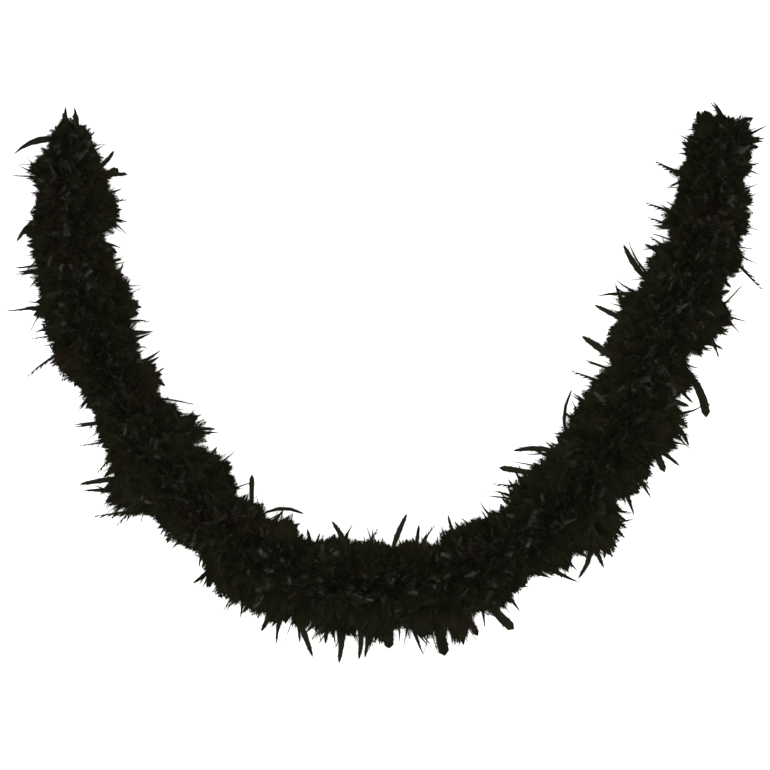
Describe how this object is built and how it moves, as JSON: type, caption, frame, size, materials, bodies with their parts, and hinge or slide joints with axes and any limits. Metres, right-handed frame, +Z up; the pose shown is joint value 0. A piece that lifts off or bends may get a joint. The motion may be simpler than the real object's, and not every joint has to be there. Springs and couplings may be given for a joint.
{
  "type": "feather boa",
  "caption": "Long fluffy scarf of dyed black feathers bound round a limp cotton cord, with a loop at one end and a knot at the other, lying in an open U.",
  "frame": {"origin": "middle of the whole boa's box, on the surface that it lies on", "axes": "+X across the U from the loop's arm to the knot's arm, +Y towards the U's open side, +Z up"},
  "size_m": [1.0616, 0.7485, 0.1401],
  "materials": {
    "feathers": "dyed turkey feathers, downy at the root and flat at the tip",
    "core_cord": "twisted dyed cotton",
    "binding_thread": "dyed polyester thread"
  },
  "bodies": {
    "link_01": {"core_01": "core_cord", "thread_01": "binding_thread", "tuft_01": "feathers", "tuft_02": "feathers", "tuft_03": "feathers", "end_loop": "core_cord"},
    "link_02": {"core_02": "core_cord", "thread_02": "binding_thread", "tuft_04": "feathers", "tuft_05": "feathers", "tuft_06": "feathers"},
    "link_03": {"core_03": "core_cord", "thread_03": "binding_thread", "tuft_07": "feathers", "tuft_08": "feathers", "tuft_09": "feathers"},
    "link_04": {"core_04": "core_cord", "thread_04": "binding_thread", "tuft_10": "feathers", "tuft_11": "feathers", "tuft_12": "feathers"},
    "link_05": {"core_05": "core_cord", "thread_05": "binding_thread", "tuft_13": "feathers", "tuft_14": "feathers", "tuft_15": "feathers"},
    "link_06": {"core_06": "core_cord", "thread_06": "binding_thread", "tuft_16": "feathers", "tuft_17": "feathers", "tuft_18": "feathers"},
    "link_07": {"core_07": "core_cord", "thread_07": "binding_thread", "tuft_19": "feathers", "tuft_20": "feathers", "tuft_21": "feathers"},
    "link_08": {"core_08": "core_cord", "thread_08": "binding_thread", "tuft_22": "feathers", "tuft_23": "feathers", "tuft_24": "feathers"},
    "link_09": {"core_09": "core_cord", "thread_09": "binding_thread", "tuft_25": "feathers", "tuft_26": "feathers", "tuft_27": "feathers"},
    "link_10": {"core_10": "core_cord", "thread_10": "binding_thread", "tuft_28": "feathers", "tuft_29": "feathers", "tuft_30": "feathers"},
    "link_11": {"core_11": "core_cord", "thread_11": "binding_thread", "tuft_31": "feathers", "tuft_32": "feathers", "tuft_33": "feathers", "end_knot": "core_cord"}
  },
  "joints": [
    {"name": "bend_01", "type": "hinge", "parent": "link_02", "child": "link_01", "pos_m": [-0.45549, 0.18861, 0.05], "axis": [0, 0, -1], "range_deg": [-42, 18]},
    {"name": "bend_02", "type": "hinge", "parent": "link_03", "child": "link_02", "pos_m": [-0.4146, 0.03599, 0.05], "axis": [0, 0, -1], "range_deg": [-42, 18]},
    {"name": "bend_03", "type": "hinge", "parent": "link_04", "child": "link_03", "pos_m": [-0.34287, -0.10479, 0.05], "axis": [0, 0, -1], "range_deg": [-45, 15]},
    {"name": "bend_04", "type": "hinge", "parent": "link_05", "child": "link_04", "pos_m": [-0.23715, -0.2222, 0.05], "axis": [0, 0, -1], "range_deg": [-52, 8]},
    {"name": "bend_05", "type": "hinge", "parent": "link_06", "child": "link_05", "pos_m": [-0.09514, -0.29146, 0.05], "axis": [0, 0, -1], "range_deg": [-58, 2]},
    {"name": "bend_06", "type": "hinge", "parent": "link_06", "child": "link_07", "pos_m": [0.06277, -0.28595, 0.05], "axis": [0, 0, 1], "range_deg": [-56, 4]},
    {"name": "bend_07", "type": "hinge", "parent": "link_07", "child": "link_08", "pos_m": [0.20227, -0.21177, 0.05], "axis": [0, 0, 1], "range_deg": [-50, 10]},
    {"name": "bend_08", "type": "hinge", "parent": "link_08", "child": "link_09", "pos_m": [0.30799, -0.09436, 0.05], "axis": [0, 0, 1], "range_deg": [-45, 15]},
    {"name": "bend_09", "type": "hinge", "parent": "link_09", "child": "link_10", "pos_m": [0.37972, 0.04642, 0.05], "axis": [0, 0, 1], "range_deg": [-35, 25]},
    {"name": "bend_10", "type": "hinge", "parent": "link_10", "child": "link_11", "pos_m": [0.43891, 0.19292, 0.05], "axis": [0, 0, 1], "range_deg": [-40, 20]}
  ]
}
